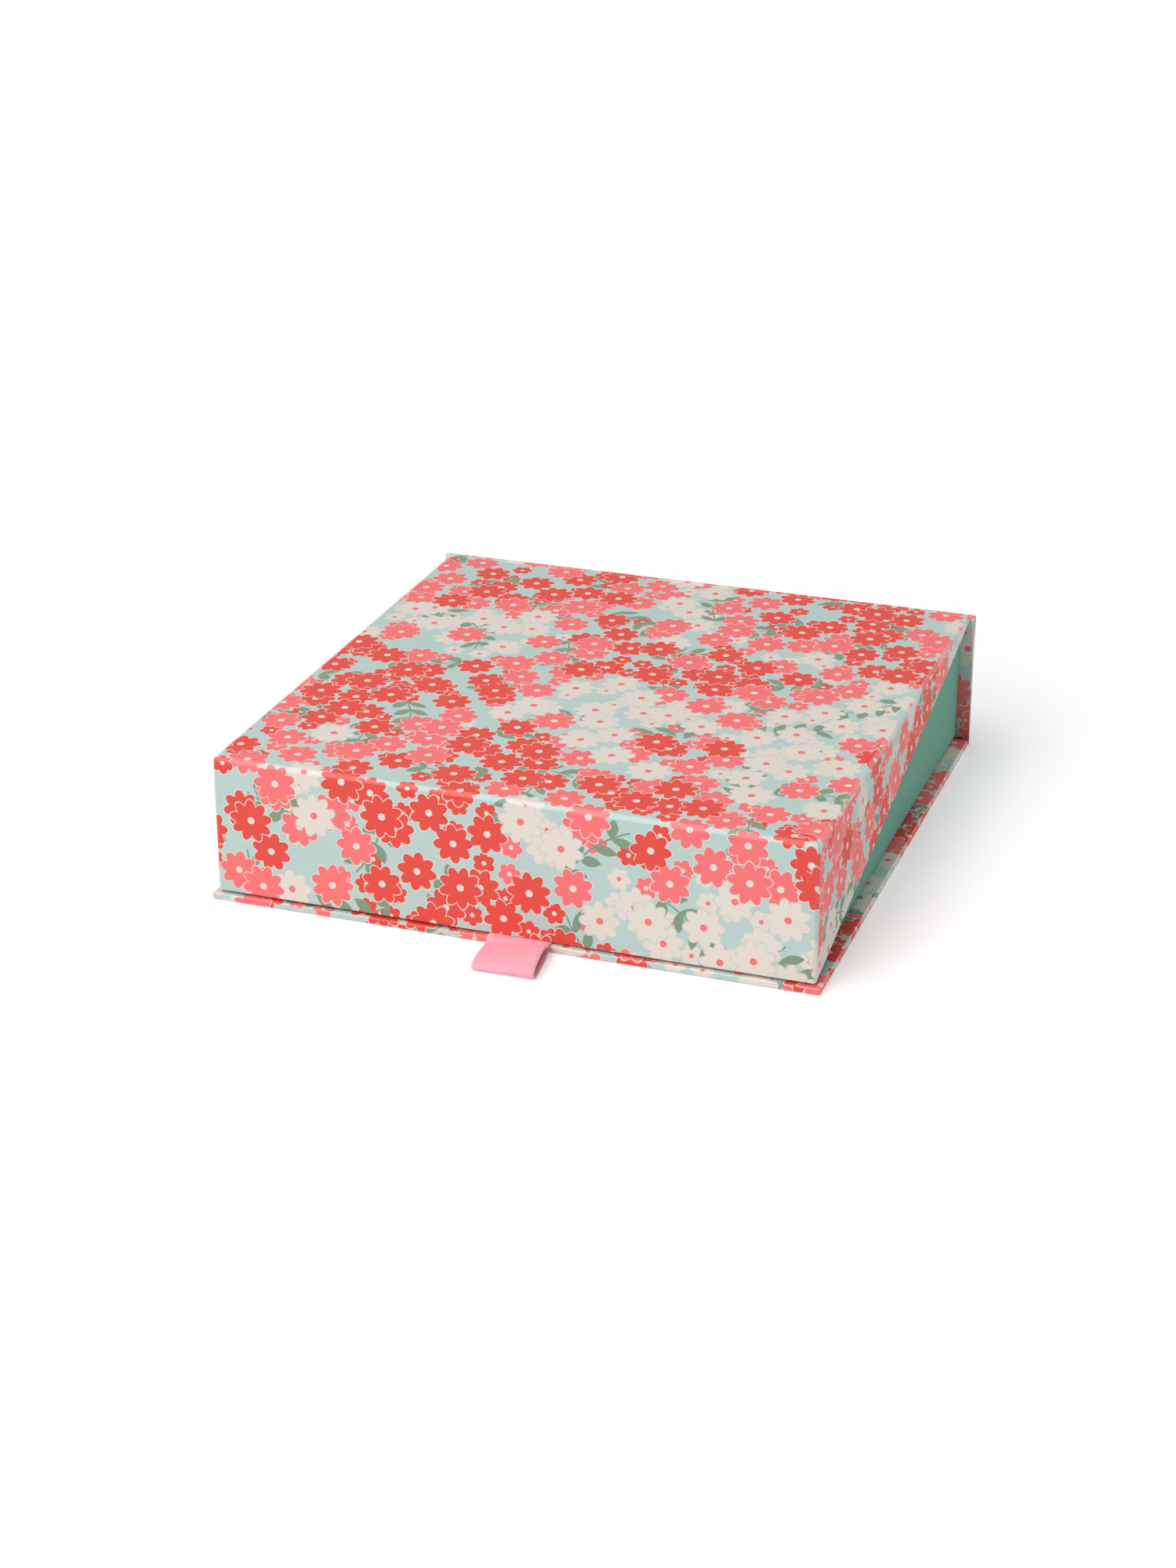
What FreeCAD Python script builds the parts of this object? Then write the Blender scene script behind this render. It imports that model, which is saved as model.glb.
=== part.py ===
"""Keepsake box: printed paper over greyboard, with a wedge-sided lid on a paper hinge.

A base and a spine carry a tray, and the lid shell drops over the tray. X runs across the box,
Y from the front to the spine and Z up. The origin is the middle of the underside. Millimetres.
"""
import FreeCAD, Part
import os
import Sketcher

doc = FreeCAD.newDocument("keepsake_box")

# Driving sizes
SIZES = {
    "case_width": 216.0,
    "case_depth": 220.0,
    "lid_width": 212.0,
    "lid_height": 49.8,
    "board": 2.0,
    "paper": 0.2,
    "front_reveal": 1.3,
    "lid_lift": 0.8,
    "hinge_gap": 0.8,
    "case_joint": 1.0,
    "spine_drop": 0.2,
    "tray_side_gap": 0.6,
    "tray_front_gap": 0.8,
    "tray_top_gap": 0.5,
    "lid_fold_radius": 2.2,
    "lid_corner_radius": 1.6,
    "tray_fold_radius": 2.0,
    "tray_corner_radius": 1.0,
    "edge_radius": 0.6,
    "turn_in": 15.0,
    "lining_reveal": 5.0,
    "stay_leg": 12.0,
    "stay_paper": 0.1,
    "hinge_fold_depth": 2.0,
    "ribbon_width": 22.0,
    "ribbon_thickness": 0.35,
    "ribbon_reach": 23.0,
    "ribbon_tail": 14.0,
    "ribbon_loop_radius": 1.5,
    "ribbon_offset": 4.5,
    "ribbon_drift": 3.0,
    "ribbon_clearance": 0.1,
}
size = doc.addObject("Spreadsheet::Sheet", "size")
for row, (alias, value) in enumerate(SIZES.items(), start=1):
    size.set(f"A{row}", alias)
    size.set(f"B{row}", str(value))
    size.setAlias(f"B{row}", alias)
doc.recompute()

# Places worked out from the driving sizes, as expressions on the sheet
PAPER = "size.paper"
BOARD = "size.board"
PANEL = f"({BOARD} + 2 * {PAPER})"
HALF_CASE = "(size.case_width / 2)"
CASE_FRONT = "(-size.case_depth / 2)"
CASE_BACK = "(size.case_depth / 2)"
SPINE_FRONT = f"({CASE_BACK} - {PANEL})"
BASE_BACK = f"({SPINE_FRONT} - size.case_joint)"
HALF_LID = "(size.lid_width / 2)"
LID_FRONT = f"({CASE_FRONT} + size.front_reveal)"
LID_BACK = f"({SPINE_FRONT} - size.hinge_gap)"
LID_BOTTOM = f"({PANEL} + size.lid_lift)"
LID_TOP = f"({LID_BOTTOM} + size.lid_height)"
LID_CEILING = f"({LID_TOP} - {PANEL})"
SPINE_TOP = f"({LID_TOP} - size.spine_drop)"
HALF_TRAY = f"({HALF_LID} - {PANEL} - size.tray_side_gap)"
TRAY_FRONT = f"({LID_FRONT} + {PANEL} + size.tray_front_gap)"
TRAY_TOP = f"({LID_CEILING} - size.tray_top_gap)"
TRAY_FLOOR = f"({PANEL} + {PAPER} + {BOARD})"
BEYOND = "size.board"  # how far a cutting block runs past the face it cuts
ON_PLANE = 1e-6


def mm(expression):
    """The value of a sheet expression."""
    return float(size.evalExpression(expression))


def plus(expression, more):
    return f"({expression} + {more})"


def minus(expression, less):
    return f"({expression} - {less})"


def across(half):
    """A span from the left to the right, equal about the middle."""
    return f"(-{half})", half


def slab(name, x, y, z):
    """A box between two expressions on each axis."""
    box = doc.addObject("Part::Box", name)
    for side, axis, (low, high) in (("Length", "x", x), ("Width", "y", y), ("Height", "z", z)):
        box.setExpression(side, f"{high} - {low}")
        box.setExpression(f"Placement.Base.{axis}", low)
    return box


def cut(name, base, *tools):
    """The base less every tool."""
    tool = tools[0] if len(tools) == 1 else fuse(name + "_tools", *tools)
    difference = doc.addObject("Part::Cut", name)
    difference.Base = base
    difference.Tool = tool
    return difference


def fuse(name, *shapes):
    union = doc.addObject("Part::MultiFuse", name)
    union.Shapes = list(shapes)
    return union


def common(name, *shapes):
    shared = doc.addObject("Part::MultiCommon", name)
    shared.Shapes = list(shapes)
    return shared


def rounded(name, base, *rounds):
    """Fillet the straight edges that lie on two given planes: (axis, place, axis, place, radius)."""
    doc.recompute()
    edges = {}
    for first, first_place, second, second_place, radius in rounds:
        for number, edge in enumerate(base.Shape.Edges, start=1):
            middle = edge.BoundBox.Center
            on_first = abs(getattr(middle, first) - mm(first_place)) < ON_PLANE
            on_second = abs(getattr(middle, second) - mm(second_place)) < ON_PLANE
            if on_first and on_second:
                edges[number] = mm(radius)
    fillet = doc.addObject("Part::Fillet", name)
    fillet.Base = base
    fillet.Edges = [(number, radius, radius) for number, radius in edges.items()]
    return fillet


def side_profile(name, points, x):
    """A body padded across the box from a polygon drawn in the side view (Y, Z)."""
    body = doc.addObject("PartDesign::Body", name)
    sketch = body.newObject("Sketcher::SketchObject", name + "_profile")
    plane = next(feature for feature in body.Origin.OriginFeatures if feature.Role == "YZ_Plane")
    sketch.AttachmentSupport = (plane, [""])
    sketch.MapMode = "FlatFace"
    sketch.setExpression("AttachmentOffset.Base.z", x[0])
    corners = [FreeCAD.Vector(mm(y), mm(z), 0) for y, z in points]
    for number, corner in enumerate(corners):
        sketch.addGeometry(Part.LineSegment(corner, corners[(number + 1) % len(corners)]), False)
    for number, (y, z) in enumerate(points):
        sketch.addConstraint(
            Sketcher.Constraint("Coincident", number, 2, (number + 1) % len(points), 1))
        for direction, place in (("DistanceX", y), ("DistanceY", z)):
            constraint = sketch.addConstraint(
                Sketcher.Constraint(direction, -1, 1, number, 1, mm(place)))
            sketch.setExpression(f"Constraints[{constraint}]", place)
    pad = body.newObject("PartDesign::Pad", name + "_pad")
    pad.Profile = sketch
    pad.setExpression("Length", f"{x[1]} - {x[0]}")
    return body


nodes = {}


def node(name, shape):
    """Name a finished sub-part."""
    shape.Label = name
    nodes[name] = shape
    return shape


# Base board, laid flat under the tray
base_board = node("base_board", slab(
    "base_board_sheet",
    across(minus(HALF_CASE, PAPER)),
    (plus(CASE_FRONT, PAPER), minus(BASE_BACK, PAPER)),
    (PAPER, minus(PANEL, PAPER))))

# Base wrap: one sheet under the board, turned in over its edges as a border, and run on to the spine
base_panel = rounded(
    "base_panel",
    slab("base_block", across(HALF_CASE), (CASE_FRONT, BASE_BACK), ("0", PANEL)),
    ("y", CASE_FRONT, "z", "0", "size.edge_radius"),
    ("y", CASE_FRONT, "z", PANEL, "size.edge_radius"),
    ("x", f"(-{HALF_CASE})", "z", "0", "size.edge_radius"),
    ("x", f"(-{HALF_CASE})", "z", PANEL, "size.edge_radius"),
    ("x", HALF_CASE, "z", "0", "size.edge_radius"),
    ("x", HALF_CASE, "z", PANEL, "size.edge_radius"))
base_bare = slab(
    "base_bare",
    across(minus(HALF_CASE, "size.turn_in")),
    (plus(CASE_FRONT, "size.turn_in"), minus(BASE_BACK, "size.turn_in")),
    (minus(PANEL, PAPER), plus(PANEL, BEYOND)))
base_joint = slab(
    "base_joint",
    across(HALF_CASE),
    (minus(BASE_BACK, PAPER), CASE_BACK),
    ("0", PAPER))
base_sleeve = cut("base_sleeve", base_panel, base_board, base_bare)
node("base_wrap", fuse("base_wrap_sheet", base_sleeve, base_joint))

# Spine board, standing on the joint behind the tray
spine_board = node("spine_board", slab(
    "spine_board_sheet",
    across(minus(HALF_CASE, PAPER)),
    (plus(SPINE_FRONT, PAPER), minus(CASE_BACK, PAPER)),
    (PAPER, minus(SPINE_TOP, PAPER))))

# Spine wrap: up the back, over the top and turned in on the front as a border
spine_panel = rounded(
    "spine_panel",
    slab("spine_block", across(HALF_CASE), (SPINE_FRONT, CASE_BACK), (PAPER, SPINE_TOP)),
    ("y", SPINE_FRONT, "z", SPINE_TOP, "size.edge_radius"),
    ("y", CASE_BACK, "z", SPINE_TOP, "size.edge_radius"),
    ("y", SPINE_FRONT, "x", f"(-{HALF_CASE})", "size.edge_radius"),
    ("y", CASE_BACK, "x", f"(-{HALF_CASE})", "size.edge_radius"),
    ("y", SPINE_FRONT, "x", HALF_CASE, "size.edge_radius"),
    ("y", CASE_BACK, "x", HALF_CASE, "size.edge_radius"))
spine_bare = slab(
    "spine_bare",
    across(minus(HALF_CASE, "size.turn_in")),
    (minus(SPINE_FRONT, BEYOND), plus(SPINE_FRONT, PAPER)),
    ("0", minus(SPINE_TOP, "size.turn_in")))
node("spine_wrap", cut("spine_wrap_sheet", spine_panel, spine_board, spine_bare))

# Tray boards: a floor with folded lower edges, and four walls standing on it
TRAY_BOARD_HALF = minus(HALF_TRAY, PAPER)
TRAY_BOARD_FRONT = plus(TRAY_FRONT, PAPER)
TRAY_BOARD_BACK = minus(SPINE_FRONT, PAPER)
TRAY_BOARD_BOTTOM = plus(PANEL, PAPER)
TRAY_BOARD_TOP = minus(TRAY_TOP, PAPER)
TRAY_BOARD_FOLD = minus("size.tray_fold_radius", PAPER)
TRAY_BOARD_CORNER = minus("size.tray_corner_radius", PAPER)


def upright_corners(half, front, back, radius):
    """The four upright edges of a block, for rounding."""
    return [("x", x, "y", y, radius) for x in across(half) for y in (front, back)]


def lower_edges(half, front, back, bottom, radius):
    """The four lower edges of a block, for rounding."""
    sides = [("x", x, "z", bottom, radius) for x in across(half)]
    return sides + [("y", y, "z", bottom, radius) for y in (front, back)]


tray_floor_board = node("tray_floor_board", rounded(
    "tray_floor_folded",
    slab("tray_floor_sheet", across(TRAY_BOARD_HALF), (TRAY_BOARD_FRONT, TRAY_BOARD_BACK),
         (TRAY_BOARD_BOTTOM, TRAY_FLOOR)),
    *upright_corners(TRAY_BOARD_HALF, TRAY_BOARD_FRONT, TRAY_BOARD_BACK, TRAY_BOARD_CORNER),
    *lower_edges(TRAY_BOARD_HALF, TRAY_BOARD_FRONT, TRAY_BOARD_BACK, TRAY_BOARD_BOTTOM, TRAY_BOARD_FOLD)))

tray_boards = [tray_floor_board]
for end, outer, y in (
        ("front", TRAY_BOARD_FRONT, (TRAY_BOARD_FRONT, plus(TRAY_BOARD_FRONT, BOARD))),
        ("back", TRAY_BOARD_BACK, (minus(TRAY_BOARD_BACK, BOARD), TRAY_BOARD_BACK))):
    wall = slab(f"tray_{end}_sheet", across(TRAY_BOARD_HALF), y, (TRAY_FLOOR, TRAY_BOARD_TOP))
    corners = [("x", x, "y", outer, TRAY_BOARD_CORNER) for x in across(TRAY_BOARD_HALF)]
    tray_boards.append(node(f"tray_{end}_board", rounded(f"tray_{end}_cornered", wall, *corners)))

for side, x in (
        ("left", (f"(-{TRAY_BOARD_HALF})", f"(-{minus(TRAY_BOARD_HALF, BOARD)})")),
        ("right", (minus(TRAY_BOARD_HALF, BOARD), TRAY_BOARD_HALF))):
    tray_boards.append(node(f"tray_{side}_board", slab(
        f"tray_{side}_sheet", x,
        (plus(TRAY_BOARD_FRONT, BOARD), minus(TRAY_BOARD_BACK, BOARD)),
        (TRAY_FLOOR, TRAY_BOARD_TOP))))


def stay_ring(name, half, front, back, z, radius):
    """A sleeve of stay paper round the upright corners of a block of boards."""
    tape = "size.stay_paper"
    outside = (plus(half, tape), minus(front, tape), plus(back, tape))
    outer = rounded(
        f"{name}_outside",
        slab(f"{name}_outside_block", across(outside[0]), outside[1:], z),
        *upright_corners(*outside, plus(radius, tape)))
    inner = rounded(
        f"{name}_inside",
        slab(f"{name}_inside_block", across(half), (front, back), z),
        *upright_corners(half, front, back, radius))
    return cut(f"{name}_ring", outer, inner)


# Tray corner stays: paper tape round the four upright corners
tray_wall_span = (TRAY_FLOOR, TRAY_BOARD_TOP)
tray_corner_stays = node("tray_corner_stays", cut(
    "tray_stays",
    stay_ring(
        "tray_stay", TRAY_BOARD_HALF, TRAY_BOARD_FRONT, TRAY_BOARD_BACK, tray_wall_span, TRAY_BOARD_CORNER),
    slab("tray_stay_gap_x", across(minus(TRAY_BOARD_HALF, "size.stay_leg")),
         (minus(TRAY_BOARD_FRONT, BEYOND), plus(TRAY_BOARD_BACK, BEYOND)), tray_wall_span),
    slab("tray_stay_gap_y", across(plus(TRAY_BOARD_HALF, BEYOND)),
         (plus(TRAY_BOARD_FRONT, "size.stay_leg"), minus(TRAY_BOARD_BACK, "size.stay_leg")),
         tray_wall_span)))

# Tray floor lining: a sheet between the papered walls
tray_floor_lining = node("tray_floor_lining", slab(
    "tray_floor_lining_sheet",
    across(minus(HALF_TRAY, PANEL)),
    (plus(TRAY_FRONT, PANEL), minus(SPINE_FRONT, PANEL)),
    (TRAY_FLOOR, plus(TRAY_FLOOR, PAPER))))

# Tray wrap: what is left of the papered tray once its boards, stays and lining are taken out
tray_block = rounded(
    "tray_block",
    slab("tray_outside", across(HALF_TRAY), (TRAY_FRONT, SPINE_FRONT), (PANEL, TRAY_TOP)),
    *upright_corners(HALF_TRAY, TRAY_FRONT, SPINE_FRONT, "size.tray_corner_radius"),
    *lower_edges(HALF_TRAY, TRAY_FRONT, SPINE_FRONT, PANEL, "size.tray_fold_radius"))
tray_cavity = slab(
    "tray_cavity",
    across(minus(HALF_TRAY, PANEL)),
    (plus(TRAY_FRONT, PANEL), minus(SPINE_FRONT, PANEL)),
    (TRAY_FLOOR, plus(TRAY_TOP, BEYOND)))
tray_bare = slab(
    "tray_bare",
    across(minus(HALF_TRAY, "size.turn_in")),
    (plus(TRAY_FRONT, "size.turn_in"), minus(SPINE_FRONT, "size.turn_in")),
    ("0", TRAY_BOARD_BOTTOM))
node("tray_wrap", cut(
    "tray_wrap_sheet", tray_block, tray_cavity, tray_bare, tray_corner_stays, *tray_boards))

# Lid boards: a top, a front wall and two side walls cut to triangles, rounded together at the folds
LID_BOARD_HALF = minus(HALF_LID, PAPER)
LID_BOARD_FRONT = plus(LID_FRONT, PAPER)
LID_BOARD_BACK = minus(LID_BACK, PAPER)
LID_BOARD_TOP = minus(LID_TOP, PAPER)
LID_WALL_TOP = minus(LID_BOARD_TOP, BOARD)
LID_WALL_BOTTOM = plus(LID_BOTTOM, PAPER)
LID_WALL_INSIDE = plus(LID_BOARD_FRONT, BOARD)
LID_BOARD_FOLD = minus("size.lid_fold_radius", PAPER)
LID_BOARD_CORNER = minus("size.lid_corner_radius", PAPER)


def folded_top(half, front, top, radius, corner):
    """The folded upper edges and the upright front corners of the lid, for rounding."""
    folds = [("x", x, "z", top, radius) for x in across(half)] + [("y", front, "z", top, radius)]
    return folds + [("x", x, "y", front, corner) for x in across(half)]


lid_board_block = rounded(
    "lid_board_block",
    slab("lid_board_outside", across(LID_BOARD_HALF), (LID_BOARD_FRONT, LID_BOARD_BACK),
         (LID_WALL_BOTTOM, LID_BOARD_TOP)),
    *folded_top(LID_BOARD_HALF, LID_BOARD_FRONT, LID_BOARD_TOP, LID_BOARD_FOLD, LID_BOARD_CORNER))
lid_top_layer = slab("lid_top_layer", across(HALF_LID), (LID_FRONT, LID_BACK), (LID_WALL_TOP, LID_TOP))
lid_top_board = node("lid_top_board", common("lid_top_sheet", lid_board_block, lid_top_layer))

# The ribbon's two plies are glued into a shallow slot in the foot of the front wall
RIBBON_PLIES = "(2 * size.ribbon_thickness)"
RIBBON_HALF = "(size.ribbon_width / 2)"
RIBBON_SPAN = (minus("size.ribbon_offset", RIBBON_HALF), plus("size.ribbon_offset", RIBBON_HALF))
ribbon_slot = slab(
    "ribbon_slot",
    RIBBON_SPAN,
    (minus(LID_WALL_INSIDE, RIBBON_PLIES), LID_WALL_INSIDE),
    (minus(LID_BOTTOM, BEYOND), plus(LID_BOTTOM, "size.ribbon_tail")))
lid_front_layer = slab(
    "lid_front_layer", across(HALF_LID), (LID_FRONT, LID_WALL_INSIDE), (LID_BOTTOM, LID_WALL_TOP))
lid_front_wall = common("lid_front_sheet", lid_board_block, lid_front_layer)
lid_front_board = node("lid_front_board", cut("lid_front_slotted", lid_front_wall, ribbon_slot))

lid_boards = [lid_top_board, lid_front_board]
for side, x in (
        ("left", (f"(-{LID_BOARD_HALF})", f"(-{minus(LID_BOARD_HALF, BOARD)})")),
        ("right", (minus(LID_BOARD_HALF, BOARD), LID_BOARD_HALF))):
    triangle = side_profile(
        f"lid_{side}_triangle",
        [(LID_WALL_INSIDE, LID_WALL_BOTTOM), (LID_BOARD_BACK, LID_WALL_TOP),
         (LID_WALL_INSIDE, LID_WALL_TOP)],
        x)
    lid_boards.append(node(f"lid_{side}_board", common(f"lid_{side}_sheet", lid_board_block, triangle)))

# Lid corner stays: paper tape round the two front corners, from the foot of the front wall to the fold
lid_wall_span = (LID_WALL_BOTTOM, minus(LID_TOP, "size.lid_fold_radius"))
lid_slope_cut = side_profile(
    "lid_slope_cut",
    [(LID_WALL_INSIDE, LID_WALL_BOTTOM), (LID_BOARD_BACK, LID_WALL_BOTTOM), (LID_BOARD_BACK, LID_WALL_TOP)],
    across(plus(HALF_LID, BEYOND)))
lid_corner_stays = node("lid_corner_stays", cut(
    "lid_stays",
    stay_ring(
        "lid_stay", LID_BOARD_HALF, LID_BOARD_FRONT, LID_BOARD_BACK, lid_wall_span, LID_BOARD_CORNER),
    slab("lid_stay_gap_x", across(minus(LID_BOARD_HALF, "size.stay_leg")),
         (minus(LID_BOARD_FRONT, BEYOND), plus(LID_BOARD_BACK, BEYOND)), lid_wall_span),
    slab("lid_stay_gap_y", across(plus(LID_BOARD_HALF, BEYOND)),
         (plus(LID_BOARD_FRONT, "size.stay_leg"), plus(LID_BOARD_BACK, BEYOND)), lid_wall_span),
    lid_slope_cut))

# Lid lining: one layer on the inside of all four boards, short of every free edge
LID_SLOPE = f"((size.lid_height - {PANEL}) / ({LID_BACK} - {LID_WALL_INSIDE}))"
LINING_BACK = f"({LID_BACK} - size.lining_reveal / {LID_SLOPE})"
LINING_FOOT = plus(LID_BOTTOM, "size.lining_reveal")
LINING_HALF = minus(LID_BOARD_HALF, BOARD)
lining_top = slab(
    "lining_top", across(LINING_HALF), (LID_WALL_INSIDE, minus(LID_BACK, "size.lining_reveal")),
    (LID_CEILING, LID_WALL_TOP))
lining_front = slab(
    "lining_front", across(LINING_HALF), (LID_WALL_INSIDE, plus(LID_WALL_INSIDE, PAPER)),
    (LINING_FOOT, LID_WALL_TOP))
lining_sides = [
    side_profile(
        f"lining_{side}",
        [(LID_WALL_INSIDE, LINING_FOOT), (LINING_BACK, LID_WALL_TOP), (LID_WALL_INSIDE, LID_WALL_TOP)],
        x)
    for side, x in (
        ("left", (f"(-{LINING_HALF})", f"(-{minus(LINING_HALF, PAPER)})")),
        ("right", (minus(LINING_HALF, PAPER), LINING_HALF)))]
lid_lining = node("lid_lining", fuse("lid_lining_sheet", lining_top, lining_front, *lining_sides))

# Lid wrap: what is left of the papered lid shell once its boards, stays, lining and ribbon are taken out
lid_block = rounded(
    "lid_block",
    slab("lid_outside", across(HALF_LID), (LID_FRONT, LID_BACK), (LID_BOTTOM, LID_TOP)),
    *folded_top(HALF_LID, LID_FRONT, LID_TOP, "size.lid_fold_radius", "size.lid_corner_radius"))
LID_INSIDE = plus(LID_FRONT, PANEL)
lid_cavity = slab(
    "lid_cavity", across(minus(HALF_LID, PANEL)), (LID_INSIDE, plus(LID_BACK, BEYOND)),
    (minus(LID_BOTTOM, BEYOND), LID_CEILING))
lid_wedge = side_profile(
    "lid_wedge",
    [(LID_INSIDE, LID_BOTTOM), (LID_BACK, LID_CEILING), (plus(LID_BACK, BEYOND), LID_CEILING),
     (plus(LID_BACK, BEYOND), minus(LID_BOTTOM, BEYOND)), (LID_INSIDE, minus(LID_BOTTOM, BEYOND))],
    across(plus(HALF_LID, BEYOND)))
node("lid_wrap", cut(
    "lid_wrap_sheet", lid_block, lid_cavity, lid_wedge, ribbon_slot, lid_lining, lid_corner_stays,
    *lid_boards))

# Hinge strip: the slack of the wrap, folded down between the spine and the back edge of the lid
HINGE_MIDDLE = f"({SPINE_FRONT} - size.hinge_gap / 2)"
HINGE_HALF = f"(size.hinge_gap / 2 - {PAPER} / 2)"
HINGE_TOP = minus(SPINE_TOP, "size.edge_radius")
HINGE_BOTTOM = minus(HINGE_TOP, "size.hinge_fold_depth")
node("hinge_strip", side_profile(
    "hinge_fold",
    [(minus(HINGE_MIDDLE, HINGE_HALF), HINGE_TOP),
     (minus(HINGE_MIDDLE, HINGE_HALF), HINGE_BOTTOM),
     (plus(HINGE_MIDDLE, HINGE_HALF), HINGE_BOTTOM),
     (plus(HINGE_MIDDLE, HINGE_HALF), HINGE_TOP),
     (minus(plus(HINGE_MIDDLE, HINGE_HALF), PAPER), HINGE_TOP),
     (minus(plus(HINGE_MIDDLE, HINGE_HALF), PAPER), plus(HINGE_BOTTOM, PAPER)),
     (plus(minus(HINGE_MIDDLE, HINGE_HALF), PAPER), plus(HINGE_BOTTOM, PAPER)),
     (plus(minus(HINGE_MIDDLE, HINGE_HALF), PAPER), HINGE_TOP)],
    across(HALF_LID)))

# Ribbon pull: tails in the slot, two plies out under the front wall, and a loop drawn aside in front
ply = mm("size.ribbon_thickness")
plies = mm(RIBBON_PLIES)
loop_radius = mm("size.ribbon_loop_radius")
slot_back = mm(LID_WALL_INSIDE)
under_wall = mm(LID_BOTTOM)
case_edge = mm(CASE_FRONT)
loop_centre_y = mm(f"{LID_FRONT} - size.ribbon_reach") + loop_radius
loop_centre_z = mm("size.ribbon_clearance") + loop_radius


def side_point(y, z):
    """A place on the ribbon's left edge, which drifts to the right in front of the case."""
    in_front = max(0.0, case_edge - y) / (case_edge - loop_centre_y)
    return FreeCAD.Vector(mm(RIBBON_SPAN[0]) + mm("size.ribbon_drift") * in_front, y, z)


def loop_wire(inset, mouth):
    """The teardrop outline of the loop, drawn in from the ribbon's outer face by the inset."""
    radius = loop_radius - inset
    upper = [side_point(mouth, under_wall - inset), side_point(loop_centre_y, loop_centre_z + radius)]
    lower = [
        side_point(loop_centre_y, loop_centre_z - radius), side_point(mouth, under_wall - plies + inset)]
    fold = Part.Arc(upper[1], side_point(loop_centre_y - radius, loop_centre_z), lower[0])
    edges = [Part.makeLine(*upper), fold.toShape(), Part.makeLine(*lower)]
    if inset < ply:
        edges.append(Part.makeLine(lower[1], upper[0]))
    return Part.Wire(edges)


ribbon_across = FreeCAD.Vector(mm("size.ribbon_width"), 0, 0)
loop_outside = Part.Face(loop_wire(0, case_edge)).extrude(ribbon_across)
loop_inside = Part.Face(loop_wire(ply, case_edge - ply)).extrude(ribbon_across)
ribbon_loop = loop_outside.cut(loop_inside)
ribbon_neck = Part.makeBox(
    ribbon_across.x, slot_back - case_edge, plies, side_point(case_edge, under_wall - plies))
ribbon_tails = Part.makeBox(
    ribbon_across.x, plies, mm("size.ribbon_tail"), side_point(slot_back - plies, under_wall))
ribbon_pull = doc.addObject("Part::Feature", "ribbon")
ribbon_pull.Shape = ribbon_loop.fuse([ribbon_neck, ribbon_tails]).removeSplitter()
node("ribbon_pull", ribbon_pull)

# Check every object, then write the sub-parts
doc.recompute()
for item in doc.Objects:
    if {"Invalid", "Error"} & set(item.State):
        raise RuntimeError(f"{item.Name} did not build: {item.State}")
os.makedirs("parts", exist_ok=True)
for name, item in nodes.items():
    shape = item.Shape
    if shape.isNull() or not shape.isValid():
        raise RuntimeError(f"{name} has no valid shape")
    print(f"{name}: {len(shape.Solids)} solids, {shape.Volume:.1f} mm3")
    shape.exportStep(f"parts/{name}.step")
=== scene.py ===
"""Keepsake box of printed paper over greyboard: the finish of every piece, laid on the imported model."""
import math

import bmesh
import bpy
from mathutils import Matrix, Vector
from mathutils.bvhtree import BVHTree


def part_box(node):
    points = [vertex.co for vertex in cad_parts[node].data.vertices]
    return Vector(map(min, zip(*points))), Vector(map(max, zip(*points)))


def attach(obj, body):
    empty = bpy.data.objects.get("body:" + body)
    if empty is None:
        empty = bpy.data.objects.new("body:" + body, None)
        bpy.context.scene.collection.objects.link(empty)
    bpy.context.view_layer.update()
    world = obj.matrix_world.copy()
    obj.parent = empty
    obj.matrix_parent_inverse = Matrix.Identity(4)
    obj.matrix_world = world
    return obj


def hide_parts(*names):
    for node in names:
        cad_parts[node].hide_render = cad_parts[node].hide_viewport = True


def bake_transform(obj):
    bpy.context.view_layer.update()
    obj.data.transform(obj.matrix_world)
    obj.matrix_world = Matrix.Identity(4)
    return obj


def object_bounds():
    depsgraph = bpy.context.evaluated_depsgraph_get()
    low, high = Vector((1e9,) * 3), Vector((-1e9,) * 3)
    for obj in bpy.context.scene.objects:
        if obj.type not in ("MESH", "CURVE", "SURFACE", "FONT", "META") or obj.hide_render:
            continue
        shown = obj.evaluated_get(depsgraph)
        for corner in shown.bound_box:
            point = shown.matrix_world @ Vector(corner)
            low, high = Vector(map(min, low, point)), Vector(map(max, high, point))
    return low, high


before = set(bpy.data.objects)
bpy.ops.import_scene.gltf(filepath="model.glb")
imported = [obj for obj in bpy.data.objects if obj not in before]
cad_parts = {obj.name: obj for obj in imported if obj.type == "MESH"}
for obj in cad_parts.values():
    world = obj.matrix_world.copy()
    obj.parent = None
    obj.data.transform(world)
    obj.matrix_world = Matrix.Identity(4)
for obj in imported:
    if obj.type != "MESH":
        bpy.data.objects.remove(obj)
cad_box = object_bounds()

# Greyboard panels
# Recycled pulp pressed into 2 mm board, cut to panels and glued edge to edge before the papers go on.
# The pulp is grey-brown, with paler fibres and a few dark flecks of old print.


def shade(tree, kind, inputs=(), **settings):
    """A shader node. An input given as a socket is linked, and any other value is set on it."""
    made = tree.nodes.new("ShaderNode" + kind)
    for key, value in settings.items():
        setattr(made, key, value)
    for key, value in dict(inputs).items():
        if isinstance(value, bpy.types.NodeSocket):
            tree.links.new(value, made.inputs[key])
        else:
            made.inputs[key].default_value = value
    return made


def reckon(tree, operation, *values):
    """The result of one sum on sockets or numbers."""
    return shade(tree, "Math", enumerate(values), operation=operation).outputs[0]


def soft_step(tree, value, full, none):
    """1 where the value is at full or past it, 0 at none, with a short ramp between. A value named
    for a ramp holds both: where its mark is full, and where there is none of it."""
    ramp = {"Value": value, "From Min": none, "From Max": full}
    return shade(tree, "MapRange", ramp, interpolation_type="SMOOTHSTEP").outputs[0]


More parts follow.
